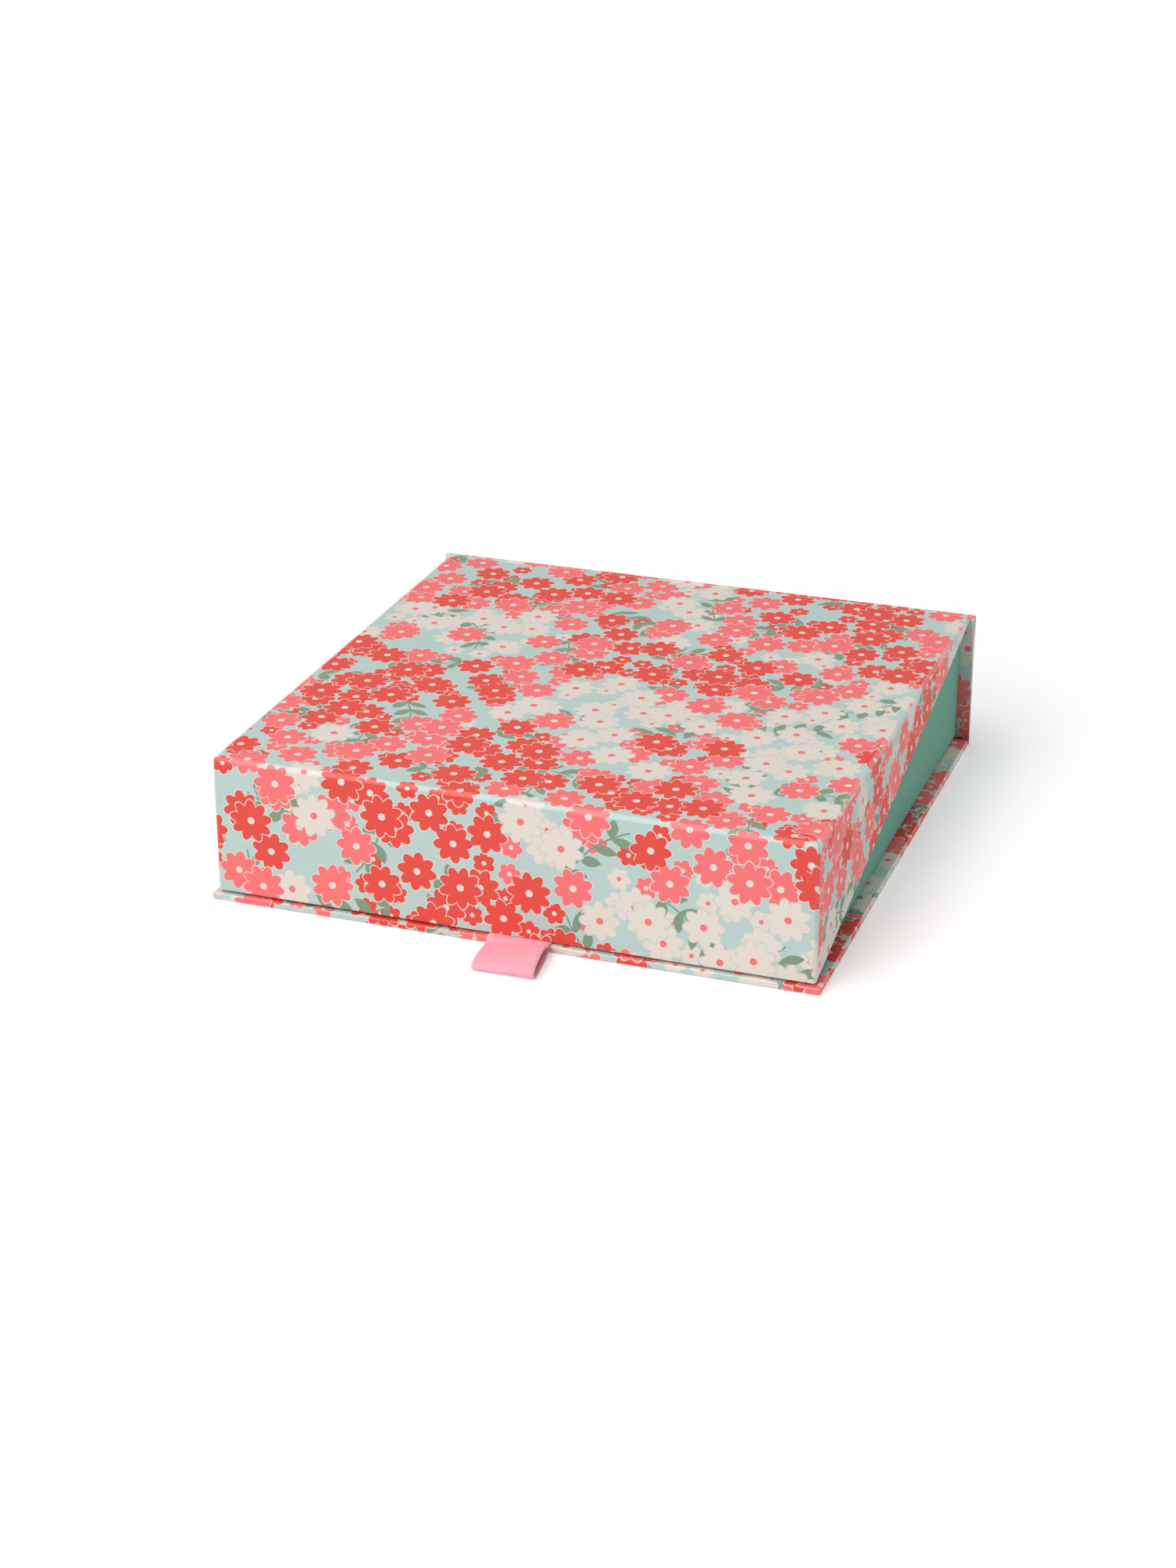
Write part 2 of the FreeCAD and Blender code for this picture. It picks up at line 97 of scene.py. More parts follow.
def lay_over(tree, mask, under, over):
    """One colour laid over another where the mask is 1."""
    return shade(tree, "Mix", {0: mask, 6: under, 7: over}, data_type="RGBA").outputs[2]


def ink(red, green, blue):
    """A colour from its everyday values, 0 to 255."""
    def light(value):
        value /= 255
        return value / 12.92 if value <= 0.04045 else ((value + 0.055) / 1.055) ** 2.4
    return light(red), light(green), light(blue), 1.0


def effect(name, takes, gives):
    """An empty node group, with its tree, the sockets that it takes and the sockets that it gives."""
    tree = bpy.data.node_groups.new(name, "ShaderNodeTree")
    for socket, kind in takes.items():
        tree.interface.new_socket(socket, in_out="INPUT", socket_type="NodeSocket" + kind)
    for socket, kind in gives.items():
        tree.interface.new_socket(socket, in_out="OUTPUT", socket_type="NodeSocket" + kind)
    taken = tree.nodes.new("NodeGroupInput").outputs
    given = tree.nodes.new("NodeGroupOutput").inputs
    return tree, taken, given


def finish_of(name, roughness, shine):
    """A new material, its tree and the inputs of its surface shader."""
    material = bpy.data.materials.new(name)
    material.use_nodes = True
    surface = material.node_tree.nodes["Principled BSDF"]
    surface.inputs["Roughness"].default_value = roughness
    surface.inputs["Specular IOR Level"].default_value = shine
    return material, material.node_tree, surface.inputs


FIBRES_PER_METRE = 900.0
FELT_DETAIL = 5.0
FELT_ROUGHNESS = 0.65
STRAND_STRETCH = (1.0, 0.25, 1.0)
STRAND_DETAIL = 2.0
STRAND_CURL = 1.5

paper_fibre, taken, given = effect(
    "paper_fibre", {"Place": "Vector", "Fineness": "Float"}, {"Tone": "Float", "Height": "Float"})
felt = shade(paper_fibre, "TexNoise", {
    "Vector": taken["Place"], "Scale": taken["Fineness"], "Detail": FELT_DETAIL, "Roughness": FELT_ROUGHNESS})
drawn_out = shade(paper_fibre, "VectorMath", {0: taken["Place"], 1: STRAND_STRETCH}, operation="MULTIPLY")
strands = shade(paper_fibre, "TexNoise", {
    "Vector": drawn_out.outputs[0], "Scale": taken["Fineness"], "Detail": STRAND_DETAIL,
    "Distortion": STRAND_CURL})
matted = reckon(paper_fibre, "MULTIPLY", felt.outputs["Fac"], strands.outputs["Fac"])
paper_fibre.links.new(strands.outputs["Fac"], given["Tone"])
paper_fibre.links.new(matted, given["Height"])


def raise_fibre(tree, surface, relief, depth):
    """Raise paper fibre on a surface, and give the tone of that fibre."""
    place = shade(tree, "TexCoord").outputs["Object"]
    fibre = shade(
        tree, "Group", {"Place": place, "Fineness": FIBRES_PER_METRE}, node_tree=paper_fibre).outputs
    rough = shade(tree, "Bump", {"Height": fibre["Height"], "Strength": relief, "Distance": depth})
    tree.links.new(rough.outputs[0], surface["Normal"])
    return fibre["Tone"]


PULP = ink(158, 150, 139)
PALE_FIBRE = ink(184, 177, 166)
FLECK = ink(96, 92, 90)
FLECKS_PER_METRE = 450.0
FLECK_RAMP = (0.06, 0.12)

greyboard, tree, surface = finish_of("greyboard", roughness=0.9, shine=0.2)
tone = raise_fibre(tree, surface, relief=0.4, depth=0.0002)
pulp = lay_over(tree, tone, PULP, PALE_FIBRE)
place = shade(tree, "TexCoord").outputs["Object"]
specks = shade(tree, "TexVoronoi", {"Vector": place, "Scale": FLECKS_PER_METRE})
fleck = soft_step(tree, specks.outputs["Distance"], *FLECK_RAMP)
tree.links.new(lay_over(tree, fleck, pulp, FLECK), surface["Base Color"])

BOARDS = (
    "base_board", "spine_board",
    "tray_floor_board", "tray_front_board", "tray_back_board", "tray_left_board", "tray_right_board",
    "lid_top_board", "lid_front_board", "lid_left_board", "lid_right_board")


def dress(names, material):
    """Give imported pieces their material."""
    for name in names:
        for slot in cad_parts[name].material_slots:
            slot.material = material


dress(BOARDS, greyboard)

# Corner stays
# Strips of thin gummed paper, wrapped round the upright corners to hold the walls together before
# the box is covered. They are plain buff paper with a visible fibre.
BUFF = ink(206, 190, 160)
BUFF_FIBRE = ink(188, 168, 136)

stay_tape, tree, surface = finish_of("stay_tape", roughness=0.75, shine=0.3)
tone = raise_fibre(tree, surface, relief=0.3, depth=0.0001)
tree.links.new(lay_over(tree, tone, BUFF, BUFF_FIBRE), surface["Base Color"])
dress(("tray_corner_stays", "lid_corner_stays"), stay_tape)

# Base wrap
# Satin paper with a flower print, pressed glossier along its folds. It is glued under the base board,
# folded up round the edges, turned in over the top as a border, and runs on, flat, under the spine.
MINT = ink(190, 212, 207)
CORAL = ink(233, 82, 72)
SALMON = ink(252, 122, 124)
CREAM = ink(232, 222, 211)
CREAM_SHADE = ink(203, 211, 202)
SAGE = ink(134, 156, 131)
MILLIMETRE = 0.001
TURN = 2 * math.pi

# The print is a scatter of daisies, small florets and leafy sprigs, in drifts of one colour.
scatter, taken, given = effect(
    "scatter",
    {"Sheet": "Vector", "Spacing": "Float", "Slant": "Float", "Stray": "Float"},
    {"Local": "Vector", "Centre": "Vector", "Chance": "Float", "Leaning": "Float"})
slanted = shade(
    scatter, "VectorRotate", {"Vector": taken["Sheet"], "Angle": taken["Slant"]}, rotation_type="Z_AXIS")
per_cell = reckon(scatter, "DIVIDE", 1.0, taken["Spacing"])
in_cells = shade(scatter, "VectorMath", {0: slanted.outputs[0], "Scale": per_cell}, operation="SCALE")
cell = shade(scatter, "TexVoronoi", {
    "Vector": in_cells.outputs[0], "Scale": 1.0, "Randomness": taken["Stray"]}, voronoi_dimensions="2D")
apart = shade(
    scatter, "VectorMath", {0: in_cells.outputs[0], 1: cell.outputs["Position"]}, operation="SUBTRACT")
draw = shade(scatter, "SeparateColor", {0: cell.outputs["Color"]}).outputs
spun = shade(scatter, "VectorRotate", {
    "Vector": apart.outputs[0], "Angle": reckon(scatter, "MULTIPLY", draw[0], TURN)}, rotation_type="Z_AXIS")
at_scale = shade(
    scatter, "VectorMath", {0: cell.outputs["Position"], "Scale": taken["Spacing"]}, operation="SCALE")
unslanted = shade(scatter, "VectorRotate", {
    "Vector": at_scale.outputs[0], "Angle": reckon(scatter, "MULTIPLY", taken["Slant"], -1.0)},
    rotation_type="Z_AXIS")
scatter.links.new(spun.outputs[0], given["Local"])
scatter.links.new(unslanted.outputs[0], given["Centre"])
scatter.links.new(draw[1], given["Chance"])
scatter.links.new(draw[2], given["Leaning"])

PETAL_MIDDLE = 0.56
PETAL_HALF = 0.44
PETAL_RAMP = (0.98, 1.04)
RIM_RAMP = (1.10, 1.16)
EYE_RAMP = (0.95, 1.10)

daisy, taken, given = effect(
    "daisy",
    {"Local": "Vector", "Petals": "Float", "Reach": "Float", "Plump": "Float", "Eye": "Float"},
    {"Petal": "Float", "Rim": "Float", "Eye": "Float"})
at = shade(daisy, "SeparateXYZ", {0: taken["Local"]}).outputs
span = shade(daisy, "VectorMath", {0: taken["Local"]}, operation="LENGTH").outputs["Value"]
out = reckon(daisy, "DIVIDE", span, taken["Reach"])
bearing = reckon(daisy, "DIVIDE", reckon(daisy, "ARCTAN2", at[1], at[0]), TURN)
past_notch = reckon(daisy, "FRACT", reckon(daisy, "MULTIPLY", bearing, taken["Petals"]))
in_petal = reckon(daisy, "SUBTRACT", past_notch, 0.5)
swing = reckon(daisy, "DIVIDE", reckon(daisy, "MULTIPLY", in_petal, TURN), taken["Petals"])
along = reckon(daisy, "MULTIPLY", out, reckon(daisy, "COSINE", swing))
aside = reckon(daisy, "MULTIPLY", out, reckon(daisy, "SINE", swing))
lengthwise = reckon(daisy, "DIVIDE", reckon(daisy, "SUBTRACT", along, PETAL_MIDDLE), PETAL_HALF)
crosswise = reckon(daisy, "DIVIDE", aside, taken["Plump"])
oval = reckon(daisy, "SQRT", reckon(
    daisy, "ADD", reckon(daisy, "POWER", lengthwise, 2.0), reckon(daisy, "POWER", crosswise, 2.0)))
from_eye = reckon(daisy, "DIVIDE", out, taken["Eye"])
daisy.links.new(soft_step(daisy, oval, *PETAL_RAMP), given["Petal"])
daisy.links.new(soft_step(daisy, oval, *RIM_RAMP), given["Rim"])
daisy.links.new(soft_step(daisy, from_eye, *EYE_RAMP), given["Eye"])

LEAF_STEP = 0.19
LEAF_LENGTH = 0.22
LEAF_HALF = 0.050
LEAF_SLANT = math.radians(48)
LEAF_RAMP = (0.003, 0.0)
STEM_BOW = 0.5
STEM_RAMP = (0.006, 0.011)
SPRIG_HALF = 2 * LEAF_STEP
SPRIG_FADE = 0.004
SPRIG_RAMP = (SPRIG_HALF - SPRIG_FADE, SPRIG_HALF)

sprig, taken, given = effect("sprig", {"Local": "Vector"}, {"Leaf": "Float", "Stem": "Float"})
at = shade(sprig, "SeparateXYZ", {0: taken["Local"]}).outputs
bow = reckon(sprig, "MULTIPLY", reckon(sprig, "POWER", at[1], 2.0), STEM_BOW)
off_stem = reckon(sprig, "ABSOLUTE", reckon(sprig, "SUBTRACT", at[0], bow))
within = reckon(sprig, "FRACT", reckon(sprig, "DIVIDE", at[1], LEAF_STEP))
up = reckon(sprig, "MULTIPLY", within, LEAF_STEP)
along = reckon(
    sprig, "ADD", reckon(sprig, "MULTIPLY", off_stem, math.sin(LEAF_SLANT)),
    reckon(sprig, "MULTIPLY", up, math.cos(LEAF_SLANT)))
aside = reckon(sprig, "ABSOLUTE", reckon(
    sprig, "SUBTRACT", reckon(sprig, "MULTIPLY", off_stem, math.cos(LEAF_SLANT)),
    reckon(sprig, "MULTIPLY", up, math.sin(LEAF_SLANT))))
from_middle = reckon(sprig, "DIVIDE", reckon(sprig, "SUBTRACT", along, LEAF_LENGTH / 2), LEAF_LENGTH / 2)
taper = reckon(sprig, "SUBTRACT", 1.0, reckon(sprig, "POWER", from_middle, 2.0))
half_leaf = reckon(sprig, "MULTIPLY", taper, LEAF_HALF)
leaf = soft_step(sprig, reckon(sprig, "SUBTRACT", half_leaf, aside), *LEAF_RAMP)
stem = soft_step(sprig, off_stem, *STEM_RAMP)
on_sprig = soft_step(sprig, reckon(sprig, "ABSOLUTE", at[1]), *SPRIG_RAMP)
sprig.links.new(reckon(sprig, "MULTIPLY", leaf, on_sprig), given["Leaf"])
sprig.links.new(reckon(sprig, "MULTIPLY", stem, on_sprig), given["Stem"])

DRIFTS_PER_METRE = 17.0
SALMON_FROM = 0.465
CREAM_FROM = 0.555
OWN_LEANING = 0.10

flower_print, taken, given = effect("flower_print", {"Sheet": "Vector"}, {"Ink": "Color"})
sheet_place = taken["Sheet"]


def strew(spacing, slant, stray):
    """Cells of one layer of the print, each holding one motif. The spacing is in millimetres."""
    return shade(flower_print, "Group", {
        "Sheet": sheet_place, "Spacing": spacing * MILLIMETRE, "Slant": slant, "Stray": stray},
        node_tree=scatter).outputs


def drift_colours(cells):
    """Rim, petal and eye colours of a layer, picked for each flower by the drift that it lies in."""
    drift = shade(flower_print, "TexNoise", {
        "Vector": cells["Centre"], "Scale": DRIFTS_PER_METRE, "Detail": 1.0})
    off_centre = reckon(flower_print, "SUBTRACT", cells["Leaning"], 0.5)
    leaning = reckon(flower_print, "MULTIPLY", off_centre, OWN_LEANING)
    pick = reckon(flower_print, "ADD", drift.outputs["Fac"], leaning)
    is_salmon = reckon(flower_print, "GREATER_THAN", pick, SALMON_FROM)
    is_cream = reckon(flower_print, "GREATER_THAN", pick, CREAM_FROM)
    petals = lay_over(flower_print, is_cream, lay_over(flower_print, is_salmon, CORAL, SALMON), CREAM)
    rims = lay_over(flower_print, is_cream, CREAM, CREAM_SHADE)
    eyes = lay_over(flower_print, is_cream, CREAM, SALMON)
    return rims, petals, eyes


def strew_blooms(printed, spacing, slant, stray, petals, reach, plump, eye, share):
    """Flowers of one layer, laid over what is printed so far."""
    cells = strew(spacing, slant, stray)
    bloom = shade(flower_print, "Group", {
        "Local": cells["Local"], "Petals": petals, "Reach": reach, "Plump": plump, "Eye": eye},
        node_tree=daisy).outputs
    present = reckon(flower_print, "LESS_THAN", cells["Chance"], share)
    for part, colour in zip(("Rim", "Petal", "Eye"), drift_colours(cells)):
        inked = reckon(flower_print, "MULTIPLY", bloom[part], present)
        printed = lay_over(flower_print, inked, printed, colour)
    return printed


printed = strew_blooms(
    MINT, spacing=9.6, slant=0.15, stray=0.30, petals=6.0, reach=0.42, plump=0.36, eye=0.20, share=0.58)
stalk = shade(
    flower_print, "Group", {"Local": strew(spacing=37.0, slant=0.4, stray=0.45)["Local"]},
    node_tree=sprig).outputs
for part in ("Stem", "Leaf"):
    printed = lay_over(flower_print, stalk[part], printed, SAGE)
printed = strew_blooms(
    printed, spacing=15.4, slant=0.95, stray=0.22, petals=8.0, reach=0.46, plump=0.27, eye=0.17, share=0.84)
printed = strew_blooms(
    printed, spacing=17.6, slant=2.20, stray=0.25, petals=9.0, reach=0.44, plump=0.24, eye=0.16, share=0.52)
flower_print.links.new(printed, given["Ink"])

FOLD_RAMP = (0.970, 0.995)

burnish, taken, given = effect("burnish", {"Facing": "Vector"}, {"Fold": "Float"})
unsigned = shade(burnish, "VectorMath", {0: taken["Facing"]}, operation="ABSOLUTE")
squarely = shade(burnish, "SeparateXYZ", {0: unsigned.outputs[0]}).outputs
most = reckon(burnish, "MAXIMUM", reckon(burnish, "MAXIMUM", squarely[0], squarely[1]), squarely[2])
burnish.links.new(soft_step(burnish, most, *FOLD_RAMP), given["Fold"])

printed_paper, tree, surface = finish_of("printed_paper", roughness=0.58, shine=0.2)
surface["Coat Roughness"].default_value = 0.4
raise_fibre(tree, surface, relief=0.08, depth=0.00005)
on_sheet = shade(tree, "UVMap", uv_map="sheet").outputs[0]
print_ink = shade(tree, "Group", {"Sheet": on_sheet}, node_tree=flower_print).outputs["Ink"]
facing = shade(tree, "TexCoord").outputs["Normal"]
fold = shade(tree, "Group", {"Facing": facing}, node_tree=burnish).outputs["Fold"]
tree.links.new(print_ink, surface["Base Color"])
tree.links.new(fold, surface["Coat Weight"])

PAPER = 0.00018
FOLD_FACETS = 6


def fold_paper(name, corners, panels, folds, material):
    """A sheet of paper folded round boards, from named corners, panels between them and fold radii."""
    widest = max(folds.values())
    bm = bmesh.new()
    points = {key: bm.verts.new(place) for key, place in corners.items()}
    for panel in panels:
        bm.faces.new([points[key] for key in panel])
    bmesh.ops.recalc_face_normals(bm, faces=bm.faces)
    weight = bm.edges.layers.float.new("bevel_weight_edge")
    for (one, other), radius in folds.items():
        bm.edges.get((points[one], points[other]))[weight] = radius / widest
    mesh = bpy.data.meshes.new(name)
    bm.to_mesh(mesh)
    bm.free()
    piece = bpy.data.objects.new(name, mesh)
    bpy.context.scene.collection.objects.link(piece)
    rounding = piece.modifiers.new("folds", "BEVEL")
    rounding.limit_method = "WEIGHT"
    rounding.width = widest
    rounding.segments = FOLD_FACETS
    piece.data = bpy.data.meshes.new_from_object(piece.evaluated_get(bpy.context.evaluated_depsgraph_get()))
    piece.modifiers.clear()
    piece.data.materials.append(material)
    piece.data.shade_smooth()
    return piece


def give_thickness(piece):
    """Paper thickness on the inner side, and normals that keep the panels flat."""
    thick = piece.modifiers.new("paper", "SOLIDIFY")
    thick.thickness = PAPER
    thick.offset = -1.0
    thick.use_even_offset = True
    even = piece.modifiers.new("panels", "WEIGHTED_NORMAL")
    even.keep_sharp = True


FLAP_END = 0.97


def lay_print(piece, shift=(0.0, 0.0)):
    """Places on the flat sheet, in metres. The print runs on over the folds, and the front and back
    flaps carry theirs round the upright corners, up to where the side faces squarely out."""
    mesh = piece.data
    top = max(vertex.co.z for vertex in mesh.vertices)
    sheet = mesh.uv_layers.new(name="sheet")
    for face in mesh.polygons:
        for loop in face.loop_indices:
            place = mesh.vertices[mesh.loops[loop].vertex_index].co
            across, along = place.x, place.y
            if abs(face.normal.x) > max(abs(face.normal.y), FLAP_END * (1 - abs(face.normal.z))):
                across += math.copysign(top - place.z, face.normal.x)
            else:
                along += math.copysign(top - place.z, face.normal.y)
            sheet.uv[loop].vector = (across + shift[0], along + shift[1])


def slab_corners(x, y, z):
    """The eight corners of a slab, named by left or right, front or back, low or high."""
    return {
        side + end + level: Vector((place_x, place_y, place_z))
        for side, place_x in zip("lr", x) for end, place_y in zip("fb", y) for level, place_z in zip("dt", z)}


EDGE_FOLD = 0.0006
TURN_IN = 0.015
BASE_PRINT_SHIFT = (0.31, 0.17)
base_low, base_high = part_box("base_wrap")
PANEL = base_high.z
BOARD_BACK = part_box("base_board")[1].y + PAPER

corners = slab_corners((base_low.x, base_high.x), (base_low.y, BOARD_BACK), (base_low.z, base_high.z))
bare = slab_corners(
    (base_low.x + TURN_IN, base_high.x - TURN_IN), (base_low.y + TURN_IN, BOARD_BACK),
    (base_low.z, base_high.z))
corners.update({"bare_" + key: place for key, place in bare.items() if key.endswith("t")})
corners["l_joint"] = Vector((base_low.x, base_high.y, base_low.z))
corners["r_joint"] = Vector((base_high.x, base_high.y, base_low.z))
base_wrap = fold_paper(
    "base_wrap", corners,
    [("lfd", "rfd", "rft", "lft"), ("rfd", "rbd", "rbt", "rft"), ("lbd", "lfd", "lft", "lbt"),
     ("lfd", "lbd", "l_joint", "r_joint", "rbd", "rfd"),
     ("lft", "rft", "bare_rft", "bare_lft"), ("rft", "rbt", "bare_rbt", "bare_rft"),
     ("lbt", "lft", "bare_lft", "bare_lbt")],
    {edge: EDGE_FOLD for edge in (
        ("lfd", "rfd"), ("lft", "rft"), ("rfd", "rbd"), ("rft", "rbt"), ("lfd", "lbd"), ("lft", "lbt"),
        ("lfd", "lft"), ("rfd", "rft"))},
    printed_paper)
lay_print(base_wrap, BASE_PRINT_SHIFT)
give_thickness(base_wrap)
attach(base_wrap, "base")
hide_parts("base_wrap")

# Spine wrap
# The same sheet carried up the back of the spine board, over its top and turned in on the front.
# The turned edge shows at each end, beside the tray.
spine_low, spine_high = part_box("spine_wrap")

corners = slab_corners((spine_low.x, spine_high.x), (spine_low.y, spine_high.y), (spine_low.z, spine_high.z))
bare = slab_corners(
    (spine_low.x + TURN_IN, spine_high.x - TURN_IN), (spine_low.y, spine_high.y),
    (spine_low.z, spine_high.z - TURN_IN))
corners.update({"bare_" + key: place for key, place in bare.items() if key[1] == "f"})
spine_wrap = fold_paper(
    "spine_wrap", corners,
    [("lbd", "lbt", "rbt", "rbd"), ("lft", "rft", "rbt", "lbt"), ("lfd", "lft", "lbt", "lbd"),
     ("rfd", "rbd", "rbt", "rft"), ("lfd", "lbd", "rbd", "rfd", "bare_rfd", "bare_lfd"),
     ("lfd", "bare_lfd", "bare_lft", "lft"), ("lft", "bare_lft", "bare_rft", "rft"),
     ("rft", "bare_rft", "bare_rfd", "rfd")],
    {edge: EDGE_FOLD for edge in (
        ("lft", "rft"), ("lbt", "rbt"), ("lfd", "lft"), ("rfd", "rft"), ("lbd", "lbt"), ("rbd", "rbt"),
        ("lft", "lbt"), ("rft", "rbt"))},
    printed_paper)
lay_print(spine_wrap)
give_thickness(spine_wrap)
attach(spine_wrap, "base")
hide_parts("spine_wrap")

# Tray wrap
# Plain uncoated green paper, folded round the four glued walls, turned over the rim and down the
# inside, and turned under the floor. The lower edges are softly rounded by the pressing.
GREEN = ink(103, 160, 140)
GREEN_FIBRE = ink(113, 170, 150)
TRAY_FOLD = 0.002
TRAY_CORNER = 0.001
RIM_FOLD = 0.0006
tray_low, tray_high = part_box("tray_wrap")
lining_low, lining_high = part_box("tray_floor_lining")
floor_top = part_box("tray_floor_board")[1].z

green_paper, tree, surface = finish_of("green_paper", roughness=0.70, shine=0.20)
tone = raise_fibre(tree, surface, relief=0.15, depth=0.0001)
tree.links.new(lay_over(tree, tone, GREEN, GREEN_FIBRE), surface["Base Color"])

corners = slab_corners((tray_low.x, tray_high.x), (tray_low.y, tray_high.y), (tray_low.z, tray_high.z))
inside = slab_corners(
    (lining_low.x, lining_high.x), (lining_low.y, lining_high.y), (floor_top, tray_high.z))
corners.update({"in_" + key: place for key, place in inside.items()})
under = slab_corners(
    (tray_low.x + TURN_IN, tray_high.x - TURN_IN), (tray_low.y + TURN_IN, tray_high.y - TURN_IN),
    (tray_low.z, tray_high.z))
corners.update({"under_" + key: place for key, place in under.items() if key.endswith("d")})
AROUND = ("lf", "rf", "rb", "lb")
panels = []
folds = {}
for one, other in zip(AROUND, AROUND[1:] + AROUND[:1]):
    panels.append((one + "d", other + "d", other + "t", one + "t"))
    panels.append((one + "t", other + "t", "in_" + other + "t", "in_" + one + "t"))
    panels.append(("in_" + one + "t", "in_" + other + "t", "in_" + other + "d", "in_" + one + "d"))
    panels.append(("under_" + one + "d", "under_" + other + "d", other + "d", one + "d"))
    folds[one + "d", other + "d"] = TRAY_FOLD
    folds[one + "d", one + "t"] = TRAY_CORNER
    folds[one + "t", other + "t"] = RIM_FOLD
    folds["in_" + one + "t", "in_" + other + "t"] = RIM_FOLD
tray_wrap = fold_paper("tray_wrap", corners, panels, folds, green_paper)
give_thickness(tray_wrap)
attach(tray_wrap, "base")
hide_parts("tray_wrap")

# Tray floor lining
# A sheet of the same green paper, cut to the floor and glued down inside the papered walls, so that
# no bare board shows in the tray.
dress(("tray_floor_lining",), green_paper)

# Lid wrap
# The printed sheet over the lid: down the front and both sides over soft folds, round the foot of
# each wall and up inside as a narrow border. The side walls are cut to long triangles.
LID_FOLD = 0.00265
LID_CORNER = 0.0017
lid_low, lid_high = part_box("lid_wrap")
inner_low, inner_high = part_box("lid_lining")
wall_inside = lid_low.y + PANEL
ceiling = lid_high.z - PANEL
LINING_REVEAL = inner_low.z - lid_low.z
slope = (ceiling - lid_low.z) / (lid_high.y - wall_inside)
side_reveal_back = lid_high.y - LINING_REVEAL / slope

corners = {}
for side, x in (("l", lid_low.x), ("r", lid_high.x)):
    inner_x = x - math.copysign(PANEL, x)
    corners.update({
        side + "_front_top": Vector((x, lid_low.y, lid_high.z)),
        side + "_back_top": Vector((x, lid_high.y, lid_high.z)),
        side + "_foot": Vector((x, lid_low.y, lid_low.z)),
        side + "_slope_foot": Vector((x, wall_inside, lid_low.z)),
        side + "_slope_end": Vector((x, lid_high.y, ceiling)),
        side + "_in_foot": Vector((inner_x, wall_inside, lid_low.z)),
        side + "_in_end": Vector((inner_x, lid_high.y, ceiling)),
        side + "_lining_foot": Vector((inner_x, wall_inside, lid_low.z + LINING_REVEAL)),
        side + "_lining_side": Vector((inner_x, side_reveal_back, ceiling)),
        side + "_lining_back": Vector((inner_x, inner_high.y, ceiling))})
panels = [
    ("l_front_top", "r_front_top", "r_back_top", "l_back_top"),
    ("l_foot", "r_foot", "r_front_top", "l_front_top"),
    ("l_foot", "r_foot", "r_slope_foot", "r_in_foot", "l_in_foot", "l_slope_foot"),
    ("l_in_foot", "r_in_foot", "r_lining_foot", "l_lining_foot"),
    ("l_back_top", "r_back_top", "r_slope_end", "r_in_end", "l_in_end", "l_slope_end"),
    ("l_in_end", "r_in_end", "r_lining_back", "l_lining_back")]
folds = {
    ("l_front_top", "r_front_top"): LID_FOLD,
    ("l_foot", "r_foot"): EDGE_FOLD,
    ("l_in_foot", "r_in_foot"): EDGE_FOLD,
    ("l_back_top", "r_back_top"): EDGE_FOLD,
    ("l_in_end", "r_in_end"): EDGE_FOLD}
for side in "lr":
    panels += [
        tuple(side + key for key in ("_foot", "_slope_foot", "_slope_end", "_back_top", "_front_top")),
        tuple(side + key for key in ("_slope_foot", "_in_foot", "_in_end", "_slope_end")),
        tuple(side + key for key in ("_in_foot", "_lining_foot", "_lining_side", "_lining_back", "_in_end"))]
    folds.update({
        (side + "_front_top", side + "_back_top"): LID_FOLD,
        (side + "_foot", side + "_front_top"): LID_CORNER,
        (side + "_foot", side + "_slope_foot"): EDGE_FOLD,
        (side + "_slope_foot", side + "_slope_end"): EDGE_FOLD,
        (side + "_in_foot", side + "_in_end"): EDGE_FOLD})
lid_wrap = fold_paper("lid_wrap", corners, panels, folds, printed_paper)
lay_print(lid_wrap)
give_thickness(lid_wrap)
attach(lid_wrap, "lid")
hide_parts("lid_wrap")

# Lid lining
# Green paper glued inside the lid over the turned-in border. It stops a little short of every free
# edge, so that a strip of the printed border shows round it.
dress(("lid_lining",), green_paper)

# Corner laps and pleat of the lid
# The sheet is slit up each front corner and its front flap glued down last, so that the flap's cut edge
# stands proud round the corner. Above the slit at the right it has pinched into a small pleat.
LAP_LIFT = 0.0002
LAP_RUN_OUT = 1 / 6
LAP_ROWS = 40
LAP_COLUMNS = 5
LAP_TUCK = 1.0
LAP_EDGE = (
    (0.0, 1.6, -49.4), (0.0, 1.6, -26.0), (0.0, 1.6, -8.0), (0.0, 1.5, -4.6), (-0.1, 1.0, -3.2),
    (-0.3, 0.5, -2.4))
LAP_ROOT = (
    (-0.9, 0.0, -49.4), (-0.9, 0.0, -26.0), (-0.9, 0.0, -8.0), (-0.9, 0.0, -5.0), (-0.7, 0.0, -3.4),
    (-0.5, 0.2, -2.5))
PLEAT_LIFT = 0.0009
PLEAT_LEAN = 1.6
PLEAT_ROWS = 28
PLEAT_COLUMNS = 7
PLEAT_TUCK = 0.5
PLEAT_EDGE = (
    (-10.4, 5.8, 0.0), (-7.0, 5.4, 0.0), (-4.3, 4.5, 0.0), (-2.3, 2.9, 0.0), (-1.1, 1.3, -0.5),
    (-0.5, 0.5, -1.6), (-0.4, 0.3, -2.8))
PLEAT_ROOT = (
    (-10.8, 6.2, 0.0), (-7.2, 7.4, 0.0), (-4.2, 7.2, 0.0), (-1.6, 6.0, -0.1), (0.0, 3.8, -0.7),
    (0.0, 2.2, -1.8), (0.0, 1.4, -3.2))
TUCK_DEPTH = PAPER / 4
CURVE_FINENESS = 24


